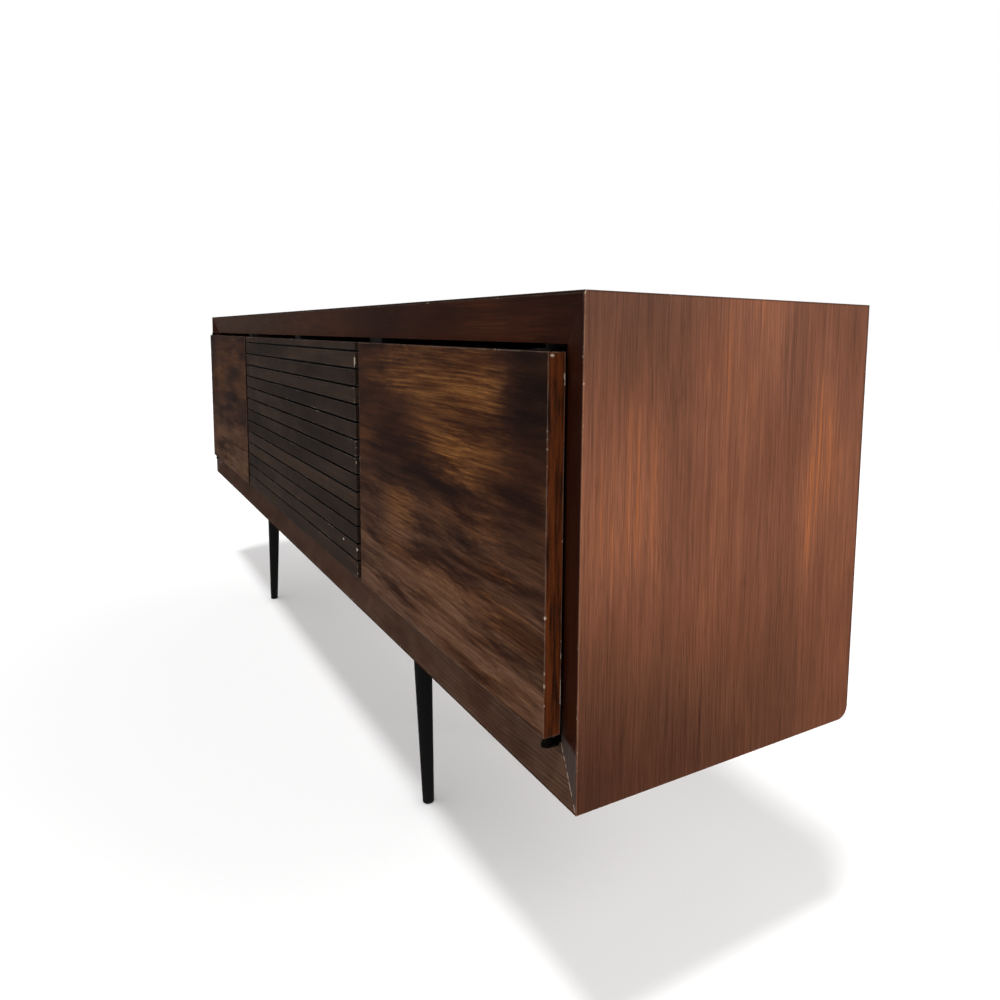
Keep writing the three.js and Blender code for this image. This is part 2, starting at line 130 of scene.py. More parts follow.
def add_world():
    """White to the camera, a soft white dome as light, and a dim room in reflections."""
    world = bpy.data.worlds.new("studio")
    world.use_nodes = True
    dome = Nodes(world.node_tree)
    up = dome.add("ShaderNodeSeparateXYZ", Vector=dome.add("ShaderNodeTexCoord").outputs["Generated"])
    over = dome.ramp(up.outputs["Z"], 0.4, 0.9, DOME_HORIZON, DOME_ZENITH)
    light = dome.ramp(up.outputs["Z"], -0.1, 0.1, DOME_BELOW, over)
    ray = dome.add("ShaderNodeLightPath")
    light = dome.fade(ray.outputs["Is Glossy Ray"], light, DOME_IN_GLOSS)
    light = dome.fade(ray.outputs["Is Camera Ray"], light, 1.0)
    background = world.node_tree.nodes["Background"]
    background.inputs["Color"].default_value = (1, 1, 1, 1)
    dome.put(background.inputs["Strength"], light)
    bpy.context.scene.world = world


def add_floor():
    """A plain pale floor, too large for its edges to show."""
    mesh = bpy.data.meshes.new("floor")
    signs = [(-1, -1), (1, -1), (1, 1), (-1, 1)]
    corners = [(x * FLOOR_REACH, y * FLOOR_REACH, 0) for x, y in signs]
    mesh.from_pydata(corners, [], [(0, 1, 2, 3)])
    floor = bpy.data.objects.new("floor", mesh)
    bpy.context.scene.collection.objects.link(floor)
    shader = Shader("floor_paint")
    speckle = shader.noise(scale=300)
    shader.set("Base Color", shader.blend(speckle, *FLOOR_WHITES))
    shader.set("Roughness", 0.9)
    shader.set("Specular IOR Level", 0.1)
    mesh.materials.append(shader.material)
    # The finish doesn't mirror the floor, and no light comes up off it.
    floor.visible_glossy = False
    floor.visible_diffuse = False


# ---------- Short calls for shader nodes ----------


class Nodes:
    """Short calls that add nodes to a node tree."""

    def __init__(self, tree):
        self.tree = tree

    def add(self, kind, **inputs):
        """A new node, with values or links in the inputs that are named."""
        node = self.tree.nodes.new(kind)
        for key, value in inputs.items():
            self.put(node.inputs[key.replace("_", " ")], value)
        return node

    def put(self, socket, value):
        """Links a socket to the input, or sets the input to a value."""
        if isinstance(value, bpy.types.NodeSocket):
            self.tree.links.new(value, socket)
        else:
            socket.default_value = value

    def math(self, operation, first, second=0.0, third=0.0, clamp=False):
        node = self.tree.nodes.new("ShaderNodeMath")
        node.operation = operation
        node.use_clamp = clamp
        for socket, value in zip(node.inputs, (first, second, third)):
            self.put(socket, value)
        return node.outputs[0]

    def sum(self, *values):
        total = values[0]
        for value in values[1:]:
            total = self.math("ADD", total, value)
        return total

    def product(self, *values):
        total = values[0]
        for value in values[1:]:
            total = self.math("MULTIPLY", total, value)
        return total

    def ramp(self, value, low, high, low_out=0.0, high_out=1.0):
        """Smoothly from low_out at low to high_out at high."""
        node = self.tree.nodes.new("ShaderNodeMapRange")
        node.interpolation_type = "SMOOTHSTEP"
        for socket, number in zip(node.inputs, (value, low, high, low_out, high_out)):
            self.put(socket, number)
        return node.outputs["Result"]

    def fade(self, factor, first, second):
        """From first to second as factor goes from 0 to 1."""
        node = self.tree.nodes.new("ShaderNodeMix")
        number_sockets = (node.inputs[0], node.inputs[2], node.inputs[3])  # 1 is the factor for vectors
        for socket, value in zip(number_sockets, (factor, first, second)):
            self.put(socket, value)
        return node.outputs[0]

    def blend(self, factor, first, second, mode="MIX"):
        """From one colour to another, or another mix of the two."""
        node = self.tree.nodes.new("ShaderNodeMix")
        node.data_type = "RGBA"
        node.blend_type = mode
        self.put(node.inputs["Factor"], factor)
        colours = [socket for socket in node.inputs if socket.type == "RGBA"]
        self.put(colours[0], first)
        self.put(colours[1], second)
        return next(socket for socket in node.outputs if socket.type == "RGBA")


class Shader(Nodes):
    """A material's node tree. Textures use object coordinates, which are the row frame's metres."""

    def __init__(self, name):
        self.material = bpy.data.materials.new(name)
        self.material.use_nodes = True
        super().__init__(self.material.node_tree)
        self.surface = self.tree.nodes["Principled BSDF"]
        self.place = self.add("ShaderNodeTexCoord").outputs["Object"]
        split = self.add("ShaderNodeSeparateXYZ", Vector=self.place)
        self.x, self.y, self.z = split.outputs

    def set(self, name, value):
        self.put(self.surface.inputs[name], value)

    def stretched(self, scales, shift=(0, 0, 0), place=None):
        """The place, scaled along each axis to cycles per metre, and shifted."""
        node = self.tree.nodes.new("ShaderNodeVectorMath")
        node.operation = "MULTIPLY_ADD"
        self.put(node.inputs[0], place or self.place)
        self.put(node.inputs[1], scales)
        self.put(node.inputs[2], shift)
        return node.outputs[0]

    def noise(self, place=None, scale=1.0, detail=2.0, roughness=0.5):
        """Noise at this scale, in cycles per metre unless place is already stretched."""
        node = self.add(
            "ShaderNodeTexNoise",
            Vector=place or self.place,
            Scale=scale,
            Detail=detail,
            Roughness=roughness,
        )
        return node.outputs[0]

    def bump(self, height, distance, strength):
        node = self.add("ShaderNodeBump", Height=height, Distance=distance, Strength=strength)
        self.set("Normal", node.outputs["Normal"])


# ---------- Wood ----------

# The layers of noise in wood grain: cycles per metre along the grain and across it, and the noise's settings.
SLOW_BEND = dict(along=2.5, across=9)
QUICK_BEND = dict(along=9, across=45)
SLOW_BEND_REACH = 24 * MM
QUICK_BEND_REACH = 3 * MM
CLOUDS = dict(along=2.2, across=9, detail=3, roughness=0.6)
STREAKS = dict(along=2.2, across=420, detail=3)
FIBRES = dict(along=7, across=560, detail=4, roughness=0.72)
PORES = dict(along=40, across=1100, detail=1)
VESSELS = dict(along=7, across=640)
RING_JITTER = dict(along=2, across=30)
RING_PATCHES = dict(along=2.0, across=6, detail=1)

RING_SPACING = 4.5 * MM
ARCH_WIDTH = 16 * MM  # how round the growth rings' arches are
ARCH_SLOPE = 0.085  # how much they widen along the grain
FIBRE_RELIEF = 0.10 * MM


class Grain:
    """Coordinates that follow the grain of one piece: along it, across it, and how far it meanders."""

    def __init__(self, shader, along, offset, meander=0.5, lift=0.0):
        self.shader = shader
        places = {"X": shader.x, "Y": shader.y, "Z": shader.z}
        self.along = shader.math("ADD", places.pop(along), offset)
        self.across = [shader.math("ADD", place, 2 * offset) for place in places.values()]
        slow = shader.math("SUBTRACT", self.layer(**SLOW_BEND), 0.5)
        quick = shader.math("SUBTRACT", self.layer(**QUICK_BEND), 0.5)
        bend = shader.sum(
            shader.product(slow, SLOW_BEND_REACH * meander),
            shader.product(quick, QUICK_BEND_REACH * meander),
            lift,
        )
        self.across = [shader.math("ADD", place, bend) for place in self.across]

    def layer(self, along, across, detail=2.0, roughness=0.55):
        """Noise with so many cycles per metre along and across the grain."""
        place = self.shader.add(
            "ShaderNodeCombineXYZ",
            X=self.shader.product(self.along, along),
            Y=self.shader.product(self.across[0], across),
            Z=self.shader.product(self.across[1], across),
        )
        return self.shader.noise(place.outputs[0], detail=detail, roughness=roughness)


def edge_gaps(shader, node_name):
    """How far a point of a box-shaped piece is inside each pair of the box's faces, in metres."""
    low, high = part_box(node_name)
    gaps = []
    for place, start, end in zip((shader.x, shader.y, shader.z), low, high):
        from_middle = shader.math("ABSOLUTE", shader.math("SUBTRACT", place, (start + end) / 2))
        gaps.append(shader.math("SUBTRACT", (end - start) / 2, from_middle))
    return gaps


def edge_distance(shader, node_name):
    """How far a point on a box-shaped piece is from the nearest edge: the middle one of the three gaps."""
    gaps = edge_gaps(shader, node_name)
    least = shader.math("MINIMUM", gaps[0], shader.math("MINIMUM", gaps[1], gaps[2]))
    most = shader.math("MAXIMUM", gaps[0], shader.math("MAXIMUM", gaps[1], gaps[2]))
    return shader.math("SUBTRACT", shader.math("SUBTRACT", shader.sum(*gaps), least), most)


# The larger chips in metres: which end of the piece (1 right, -1 left), the place from its upper back corner
# there, and the half sizes.
CHIPS = {
    "right_door": [
        (1, (0, -0.0145, -0.0035), (0.004, 0.0035, 0.0022)),
        (1, (0, 0, -0.0230), (0.003, 0.0022, 0.0065)),
        (1, (0, 0, -0.0300), (0.003, 0.0014, 0.0030)),
        (1, (0, 0, -0.3000), (0.003, 0.0013, 0.0050)),
        (1, (0, 0, -0.3370), (0.003, 0.0012, 0.0250)),
        (1, (0, -0.0190, -0.2580), (0.003, 0.0025, 0.0030)),
    ],
    "slat_02": [(1, (-0.0012, -0.0095, -0.0150), (0.0026, 0.004, 0.0130))],
    "slat_13": [
        (1, (-0.0010, -0.0095, -0.0080), (0.0040, 0.004, 0.0040)),
        (1, (-0.0760, -0.0095, -0.0070), (0.0060, 0.004, 0.0026)),
    ],
    "left_door": [(-1, (0, -0.019, -0.120), (0.003, 0.003, 0.006))],
}


def lobe(shader, middle, halves, place):
    """A soft ellipse: 1 in its middle, 0 well outside, and endless along an axis whose half size is None."""
    scales = tuple(0 if half is None else 1 / half for half in halves)
    shift = tuple(-part * scale for part, scale in zip(middle, scales))
    reach = shader.add("ShaderNodeVectorMath", Vector=shader.stretched(scales, shift, place))
    reach.operation = "LENGTH"
    return shader.ramp(reach.outputs["Value"], 1.35, 0.0)


def arris_wear_and_highlight(shader, colour, distance, look):
    """Lighter arrises, partly rubbed wear and partly a painted highlight where light catches the edges, with a
    few chips down to the pale wood under the stain.
    """
    breakup = shader.noise(scale=38, detail=4, roughness=0.65)
    reach = shader.ramp(breakup, 0.36, 0.66, 0.3 * look.rub_width, look.rub_width)
    rubbed = shader.math("SUBTRACT", 1.0, shader.math("DIVIDE", distance, reach, clamp=True), clamp=True)
    at_front = shader.ramp(shader.y, CASE_LOW.y + 10 * MM, CASE_LOW.y + 4 * MM, look.arris_tint_behind, 1.0)
    colour = shader.blend(shader.product(rubbed, at_front, look.rub), colour, look.rubbed)
    clusters = shader.ramp(shader.noise(scale=14, detail=1), 0.5, 0.68)
    flakes = shader.noise(scale=210, detail=3, roughness=0.6)
    deep = shader.product(shader.ramp(flakes, 0.60, 0.64), shader.ramp(distance, look.chip_width, 0.3 * MM))
    return shader.blend(shader.product(shader.ramp(deep, 0.3, 0.5), clusters), colour, look.chipped)


def worn_mitre(shader, colour, look):
    """A chipped pale line along the bottom corners' mitres."""
    inward = shader.math("SUBTRACT", CASE_HIGH.x, shader.math("ABSOLUTE", shader.x))
    upward = shader.math("SUBTRACT", shader.z, CASE_BOTTOM)
    off_line = shader.math("ABSOLUTE", shader.math("SUBTRACT", upward, inward))
    near = shader.product(shader.ramp(off_line, 1.3 * MM, 0.5 * MM), shader.ramp(inward, 0.07, 0.05))
    broken = shader.ramp(shader.noise(scale=160, detail=3), 0.42, 0.55)
    return shader.blend(shader.product(near, broken, 0.6), colour, look.chipped)


def marked(shader, colour, look, node_name):
    """The larger chips of one piece, each a ragged pale spot at a place of its own."""
    low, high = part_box(node_name)
    for side, place, halves in CHIPS.get(node_name, ()):
        corner = high if side > 0 else Vector((low.x, high.y, high.z))
        spot = lobe(shader, corner + Vector(place), halves, shader.place)
        ragged = shader.math("MULTIPLY_ADD", shader.noise(scale=420), 0.9, spot)
        colour = shader.blend(shader.ramp(ragged, 0.95, 1.05), colour, look.chipped)
    return colour


def shaded(shader, colour, shade):
    """The colour times a grey value."""
    grey = shader.add("ShaderNodeCombineColor", Red=shade, Green=shade, Blue=shade).outputs[0]
    return shader.blend(1.0, colour, grey, mode="MULTIPLY")


class WoodLook:
    """The stain and the wear of one kind of wood. Colours are linear."""

    chipped = (0.55, 0.45, 0.36, 1)
    chip_width = 1.6 * MM

    def __init__(
        self,
        dark,
        light,
        warm,
        roughness,
        specular,
        contrast=1.0,  # of the streaks and the fibres
        rings=0.10,  # how strong the growth rings are
        pore_depth=0.25,  # how much darker the pores are
        painted_light=None,  # the colour of painted light and sheen, for a look that has them
        rubbed=(0.16, 0.12, 0.10, 1),
        rub=0.5,  # how much of the arris colour the arrises show, which is wear and, on the doors, partly a painted highlight
        rub_width=1.5 * MM,
        arris_tint_behind=1.0,  # the share of that arris colour which arrises behind the front show
        mitred=False,  # whether it has the chipped line of the bottom mitres
    ):
        self.dark, self.light, self.warm = dark, light, warm
        self.roughness, self.specular = roughness, specular
        self.contrast, self.rings, self.pore_depth = contrast, rings, pore_depth
        self.painted_light = painted_light
        self.rubbed, self.rub, self.rub_width, self.arris_tint_behind = rubbed, rub, rub_width, arris_tint_behind
        self.mitred = mitred


VENEER_STAIN = dict(
    dark=(0.192, 0.070, 0.037, 1), light=(0.270, 0.096, 0.048, 1), warm=(0.410, 0.126, 0.038, 1),
    roughness=0.42, specular=0.18, contrast=1.5, rings=0.045, arris_tint_behind=0.1, pore_depth=0.18,
)
END_PANEL = WoodLook(**VENEER_STAIN, rubbed=(0.40, 0.21, 0.12, 1))
FLAT_PANEL = WoodLook(**VENEER_STAIN, rubbed=(0.05, 0.025, 0.015, 1))
# The front's colours, here and in the slats and doors, are darker than the end panels' partly as painted shade,
# as the front turns away from the light.
FRAME_STAIN_AND_SHADE = dict(
    dark=(0.026, 0.0042, 0.0012, 1), light=(0.056, 0.0135, 0.0036, 1), warm=(0.105, 0.024, 0.005, 1),
    roughness=0.38, specular=0.20, contrast=1.2, mitred=True,
)
# The frames' pale colours are painted light: sheen on the top rail, light from above on the bottom rail, and
# light on the stiles' feet.
RAIL = WoodLook(**FRAME_STAIN_AND_SHADE, painted_light=(0.100, 0.050, 0.030, 1))
STILE = WoodLook(**FRAME_STAIN_AND_SHADE, painted_light=(0.085, 0.056, 0.047, 1))
# Partly painted shade: the slats are darker than the end panels as the front turns away from the light.
SLAT = WoodLook(
    dark=(0.024, 0.0130, 0.0088, 1), light=(0.048, 0.0265, 0.0165, 1), warm=(0.085, 0.042, 0.021, 1),
    roughness=0.40, specular=0.30, contrast=1.7, rubbed=(0.12, 0.095, 0.08, 1),
)
# The inside's darker stain is partly painted shade, so that the gaps between the doors read dark.
INTERIOR = WoodLook(
    dark=(0.048, 0.020, 0.011, 1), light=(0.092, 0.040, 0.021, 1), warm=(0.115, 0.044, 0.020, 1),
    roughness=0.55, specular=0.30, rubbed=(0.13, 0.07, 0.045, 1),
)
BOARD = WoodLook(
    dark=(0.105, 0.058, 0.034, 1), light=(0.135, 0.076, 0.045, 1), warm=(0.15, 0.080, 0.045, 1),
    roughness=0.65, specular=0.25, rubbed=(0.20, 0.13, 0.08, 1),
)


def finish_wood(shader, grain, look, colour, node_name, fibres):
    """Pores, worn arrises, gloss and relief, which every kind of wood here has."""
    pores = grain.layer(**PORES)
    vessels = grain.layer(**VESSELS)
    deep = 1 - look.pore_depth
    lines = shader.product(
        shader.ramp(pores, 0.56, 0.68, 1.0, deep),
        shader.ramp(vessels, 0.54, 0.64, 1.0, deep),
    )
    colour = shaded(shader, colour, lines)
    colour = arris_wear_and_highlight(shader, colour, edge_distance(shader, node_name), look)
    if look.mitred:
        colour = worn_mitre(shader, colour, look)
    shader.set("Base Color", marked(shader, colour, look, node_name))
    smudges = shader.noise(scale=8, detail=4, roughness=0.6)
    gloss = shader.sum(shader.ramp(smudges, 0.3, 0.7, -0.06, 0.07), shader.product(fibres, 0.14))
    shader.set("Roughness", shader.math("ADD", gloss, look.roughness - 0.07))
    shader.set("Specular IOR Level", look.specular)
    relief = shader.sum(shader.product(fibres, 0.6), shader.product(pores, -0.6))
    shader.bump(relief, FIBRE_RELIEF, 0.7)


def ring_lines(shader, grain, heart):
    """Plain-sawn growth rings: they close in arches along a heart line, and run straight beside it."""
    off_heart = shader.math("SUBTRACT", shader.sum(*grain.across), heart)
    squares = shader.math("ADD", shader.product(off_heart, off_heart), ARCH_WIDTH**2)
    height = shader.math("MULTIPLY_ADD", grain.along, ARCH_SLOPE, shader.math("SQRT", squares))
    jitter = shader.product(grain.layer(**RING_JITTER), 2 * RING_SPACING)
    turns = shader.math("DIVIDE", shader.math("ADD", height, jitter), RING_SPACING / math.tau)
    return shader.math("SINE", turns)


def wood(node_name, look, along, offset, tone=None, painted_light=None, figure=None, heart=0.03):
    """Stained wood with its grain along one axis. offset moves the pattern, so that no two pieces match.

    tone(shader, node_name) darkens it, as stain or as painted shade, the painted light's callback says where
    painted light and sheen make it paler, and figure(shader) adds warm and dark clouds. heart is where the
    growth rings close, across the piece from its middle.
    """
    shader = Shader(f"{node_name}_wood")
    grain = Grain(shader, along, offset)
    clouds = grain.layer(**CLOUDS)
    if figure:
        clouds = shader.math("ADD", clouds, figure(shader))
    streaks = grain.layer(**STREAKS)
    fibres = grain.layer(**FIBRES)
    low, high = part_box(node_name)
    sides = sum(value for axis, value in zip("XYZ", (low + high) / 2) if axis != along)
    rings = ring_lines(shader, grain, 4 * offset + sides + heart)
    ringed = shader.ramp(grain.layer(**RING_PATCHES), 0.46, 0.62, 0.2 * look.rings, 1.6 * look.rings)
    colour = shader.blend(shader.ramp(clouds, 0.34, 0.66), look.dark, look.light)
    glow = shader.product(shader.ramp(clouds, 0.50, 0.74), shader.ramp(streaks, 0.47, 0.60))
    colour = shader.blend(glow, colour, look.warm)
    spread = shader.sum(shader.product(streaks, 0.25), shader.product(fibres, 0.9))
    shade = shader.math("MULTIPLY_ADD", shader.math("SUBTRACT", spread, 0.575), look.contrast, 1.0)
    shade = shader.math("MULTIPLY_ADD", rings, ringed, shade)
    if tone:
        shade = shader.product(shade, tone(shader, node_name))
    # Painted light and sheen, where the look has them.
    if painted_light:
        colour = shader.blend(painted_light(shader), colour, look.painted_light)
    finish_wood(shader, grain, look, shaded(shader, colour, shade), node_name, fibres)
    return shader.material


# Warm and dark clouds in the end panels, in metres: back from the front edge, up from the bottom, half width
# and half height, and the strength.
PANEL_CLOUDS = [
    (0.066, 0.350, 0.022, 0.100, 0.08),
    (0.040, 0.230, 0.030, 0.110, 0.08),
    (0.150, 0.400, 0.030, 0.080, 0.06),
    (0.210, 0.364, 0.022, 0.060, 0.07),
    (0.325, 0.375, 0.030, 0.095, 0.10),
    (0.290, 0.260, 0.040, 0.090, 0.06),
    (0.051, 0.445, 0.014, 0.050, -0.20),
    (0.105, 0.300, 0.020, 0.120, -0.08),
    (0.265, 0.437, 0.012, 0.050, -0.20),
]
PANEL_HEART = -0.150


def panel_figure(shader):
    """The end panels' clouds, added up."""
    total = 0.0
    for back, up, half_width, half_height, strength in PANEL_CLOUDS:
        middle = (0, CASE_LOW.y + back, CASE_BOTTOM + up)
        cloud = lobe(shader, middle, (None, half_width, half_height), shader.place)
        total = shader.math("MULTIPLY_ADD", cloud, strength, total)
    return total


def side_panel_shade_and_seams(shader, _):
    """Painted shade: the end panels are darker towards the bottom, most at the front, and in the upper front
    corner. The thin dark lines along the top and back edges are seams.
    """
    to_back = shader.ramp(shader.y, CASE_LOW.y, CASE_HIGH.y)
    # Painted shade towards the foot, deeper at the front than at the back.
    low = shader.fade(to_back, 0.38, 0.78)
    foot = shader.ramp(shader.z, CASE_BOTTOM, CASE_BOTTOM + 0.27, low, 1.0)
    # Painted shade in the upper front corner.
    corner = shader.product(shader.ramp(shader.z, CASE_TOP - 0.20, CASE_TOP), shader.ramp(to_back, 0.7, 0.0))
    top_edge = shader.ramp(shader.z, CASE_TOP, CASE_TOP - 2.5 * MM, 0.4, 1.0)
    back_edge = shader.ramp(shader.y, CASE_HIGH.y, CASE_HIGH.y - 3.0 * MM, 0.4, 1.0)
    return shader.product(foot, top_edge, back_edge, shader.math("MULTIPLY_ADD", corner, -0.30, 1.0))


def panel_tone(shader, _):
    """The top and bottom panels' front edges are stained like the rails below and above them."""
    return shader.ramp(shader.y, CASE_LOW.y + 1 * MM, CASE_LOW.y + 5 * MM, 0.16, 1.0)


def top_rail_painted_sheen(shader):
    """A painted sheen, paler towards the left end."""
    return shader.ramp(shader.x, CASE_LOW.x, CASE_HIGH.x, 0.75, 0.0)


def bottom_rail_painted_light(shader):
    """Painted light from above, as it faces up a little: paler all along, broken by mottled patches of its own.
    """
    patches = shader.ramp(shader.noise(shader.stretched((14, 30, 30)), detail=4), 0.35, 0.62, 0.55, 1.0)
    return shader.product(patches, shader.ramp(shader.x, CASE_LOW.x, CASE_HIGH.x, 0.65, 0.95))


def stile_painted_light(shader):
    """Painted light on its foot, which the door doesn't shade, making it paler and greyer there."""
    return shader.ramp(shader.z, DOOR_BOTTOM + 1 * MM, DOOR_BOTTOM - 6 * MM)


def divider_painted_shade(shader, node_name):
    """Painted shade: the front edge is black, as the shade in the gaps between the doors."""
    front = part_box(node_name)[0].y
    return shader.ramp(shader.y, front + 0.5 * MM, front + 3 * MM, 0.05, 1.0)


def slat_groove_painted_shade(shader, node_name):
    """Painted shade: the slats' long sides, and the panel behind them, are black where the grooves show them,
    as the shade in the grooves.
    """
    if node_name == "flap_panel":
        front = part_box(node_name)[0].y
        return shader.ramp(shader.y, front + 0.2 * MM, front + 1.0 * MM, 0.1, 1.0)
    return shader.ramp(edge_gaps(shader, node_name)[2], 0.08 * MM, 0.35 * MM, 0.06, 1.0)


# ---------- Doors ----------

# Partly painted shade: the doors are darker than the end panels as the front turns away from the light.
DOOR = WoodLook(
    dark=(0.026, 0.0068, 0.0028, 1), light=(0.060, 0.019, 0.0070, 1), warm=(0.115, 0.032, 0.006, 1),
    # The doors' pale arrises are partly wear and partly a painted highlight on the top edges, which the
    # overhead light catches.
    roughness=0.34, specular=0.22, rubbed=(0.20, 0.15, 0.12, 1), rub=0.65, rub_width=1.6 * MM,
)
RIGHT_DOOR_SHARE = 1.0  # of FIGURE below
LEFT_DOOR_SHARE = 0.25
DOOR_GOLD = (0.260, 0.108, 0.026, 1)
# The paler, greyer colour of a painted sheen on the doors' lower part.
DOOR_PAINTED_SHEEN = (0.165, 0.082, 0.047, 1)
LIPPING_DARK = (0.036, 0.012, 0.006, 1)
LIPPING_RED = (0.175, 0.041, 0.010, 1)
PAINTED_SHEEN_HEIGHT = 0.26  # how far up the doors the painted sheen reaches

# The door veneer's layers of noise, in the terms of the layers above.
RAGGED_EDGES = dict(along=8, across=34, detail=4, roughness=0.65)
GOLDEN_PATCHES = dict(along=3.5, across=16, detail=3)
FLAMES = dict(along=5, across=44, detail=5, roughness=0.6)
DOOR_STREAKS = dict(along=5, across=300, detail=4, roughness=0.65)
DOOR_FIBRES = dict(along=22, across=780, detail=4, roughness=0.75)

# Clouds of lighter and darker figure in the right door's veneer, in metres: the middle, right of the door's
# hinge edge (so negative) and up from its bottom, the half width and half height, and the strength.
FIGURE = [
    (-0.280, 0.335, 0.300, 0.036, 0.95),
    (-0.150, 0.345, 0.100, 0.024, 0.55),
    (-0.216, 0.252, 0.095, 0.030, 1.00),
    (-0.275, 0.282, 0.120, 0.026, 0.55),
    (-0.110, 0.283, 0.110, 0.018, 0.45),
    (-0.404, 0.150, 0.070, 0.040, 0.65),
    (-0.427, 0.100, 0.070, 0.040, 0.55),
    (-0.300, 0.082, 0.140, 0.026, 0.85),
    (-0.095, 0.144, 0.060, 0.013, 0.80),
    (-0.095, 0.094, 0.110, 0.018, 0.65),
    (-0.200, 0.022, 0.300, 0.040, 0.50),
    (-0.459, 0.203, 0.120, 0.030, -0.50),
    (-0.185, 0.155, 0.060, 0.016, -0.60),
    (-0.030, 0.335, 0.100, 0.085, -1.30),
    (-0.250, 0.205, 0.150, 0.020, -0.50),
    (-0.050, 0.215, 0.070, 0.035, -0.60),
]
KNOTS = [(-0.185, 0.155, 0.045), (-0.430, 0.120, 0.060)]  # where the grain swirls, and how wide


def door_figure(shader, grain, corner, mirror, share):
    """How golden the veneer is, from a share of the clouds of figure, with ragged outlines."""
    ragged = shader.math("SUBTRACT", grain.layer(**RAGGED_EDGES), 0.5)
    lifted_z = shader.math("MULTIPLY_ADD", ragged, 0.10, shader.z)
    lifted = shader.add("ShaderNodeCombineXYZ", X=shader.x, Y=0.0, Z=lifted_z).outputs[0]
    patches = shader.ramp(grain.layer(**GOLDEN_PATCHES), 0.35, 0.70, 0.0, 0.5)
    total = shader.math("SUBTRACT", patches, 0.1 * share)
    for x, z, half_width, half_height, strength in FIGURE:
        middle = (corner.x + mirror * x, 0, corner.z + z)
        cloud = lobe(shader, middle, (half_width, None, half_height), lifted)
        total = shader.math("MULTIPLY_ADD", cloud, share * strength, total)
    return total


def door_swirls(shader, corner, mirror):
    """How far the knots lift the grain that runs past them."""
    swirls = []
    for x, z, radius in KNOTS:
        middle = (corner.x + mirror * x, 0, corner.z + z)
        swirl = lobe(shader, middle, (2.2 * radius, None, radius), shader.place)
        swirls.append(shader.product(swirl, 0.14 * radius))
    return shader.sum(*swirls)


def lipped(shader, colour, node_name, corner, offset):
    """The colour with a lipping round the edges, which is redder along the hinge."""
    gap_x, _, gap_z = edge_gaps(shader, node_name)
    band = shader.noise(shader.stretched((300, 300, 16), (offset, 0, 0)), detail=4, roughness=0.65)
    from_hinge = shader.math("ABSOLUTE", shader.math("SUBTRACT", shader.x, corner.x))
    redness = shader.product(shader.ramp(from_hinge, 0.03, 0.02), shader.ramp(band, 0.34, 0.60))
    lipping = shader.blend(redness, LIPPING_DARK, LIPPING_RED)
    on_edge = shader.ramp(shader.math("MINIMUM", gap_x, gap_z), 0.5 * MM, 0.2 * MM)
    return shader.blend(on_edge, colour, lipping)


def door_material(node_name, mirror, share, offset):
    """Dark veneer, partly stain and partly painted shade, with golden clouds, and a redder lipping round the
    edges.
    """
    low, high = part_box(node_name)
    corner = Vector((high.x if mirror > 0 else low.x, low.y, low.z))
    shader = Shader(f"{node_name}_wood")
    grain = Grain(shader, "X", offset, meander=1.0, lift=door_swirls(shader, corner, mirror))
    figure = door_figure(shader, grain, corner, mirror, share)
    flames = grain.layer(**FLAMES)
    streaks = grain.layer(**DOOR_STREAKS)
    fibres = grain.layer(**DOOR_FIBRES)
    colour = shader.blend(shader.ramp(flames, 0.36, 0.66), DOOR.dark, DOOR.light)
    golden = shader.math("MINIMUM", shader.math("MAXIMUM", figure, 0.0), 1.0)
    warmth = shader.product(golden, shader.ramp(flames, 0.30, 0.70, 0.35, 0.8))
    colour = shader.blend(warmth, colour, DOOR.warm)
    hairs = shader.ramp(shader.sum(streaks, shader.product(flames, 0.5)), 0.60, 1.0)
    colour = shader.blend(shader.product(golden, hairs, 0.8), colour, DOOR_GOLD)
    # Painted sheen over the lower part of the doors, broken up by the flames and streaks.
    painted_light = shader.product(
        shader.ramp(shader.z, low.z + PAINTED_SHEEN_HEIGHT, low.z),
        shader.ramp(flames, 0.36, 0.62, 0.08, 1.0),
        shader.ramp(streaks, 0.35, 0.65, 0.5, 1.0),
    )
    colour = shader.blend(painted_light, colour, DOOR_PAINTED_SHEEN)
    dim = shader.ramp(figure, -0.7, 0.15, 0.45, 1.0)
    spread = shader.sum(shader.product(streaks, 0.8), shader.product(fibres, 1.7))
    colour = shaded(shader, colour, shader.product(dim, shader.math("SUBTRACT", spread, 0.22)))
    colour = lipped(shader, colour, node_name, corner, offset)
    finish_wood(shader, grain, DOOR, colour, node_name, fibres)
    return shader.material


# ---------- Metal and plastic ----------


def painted_metal():
    """Black paint with a fine orange peel and a few duller scuffs."""
    shader = Shader("black_paint")
    peel = shader.noise(scale=900)
    shader.set("Base Color", shader.blend(peel, (0.004, 0.004, 0.004, 1), (0.009, 0.009, 0.009, 1)))
    scuffs = shader.noise(shader.stretched((60, 60, 12)), detail=4)
    shader.set("Roughness", shader.ramp(scuffs, 0.3, 0.7, 0.26, 0.42))
    shader.bump(peel, 0.03 * MM, 0.5)
    return shader.material


def steel():
    """Dark steel, its darkness partly painted shade so that the hinge arms read as the dark gaps, with lighter
    and darker blooms.
    """
    shader = Shader("steel_with_painted_shade")
    blooms = shader.noise(scale=160, detail=3)
    shader.set("Base Color", shader.blend(blooms, (0.022, 0.019, 0.017, 1), (0.060, 0.055, 0.050, 1)))
    shader.set("Metallic", 1.0)
    shader.set("Roughness", shader.ramp(blooms, 0.3, 0.7, 0.34, 0.5))
    shader.bump(shader.noise(scale=700), 0.02 * MM, 0.4)
    return shader.material


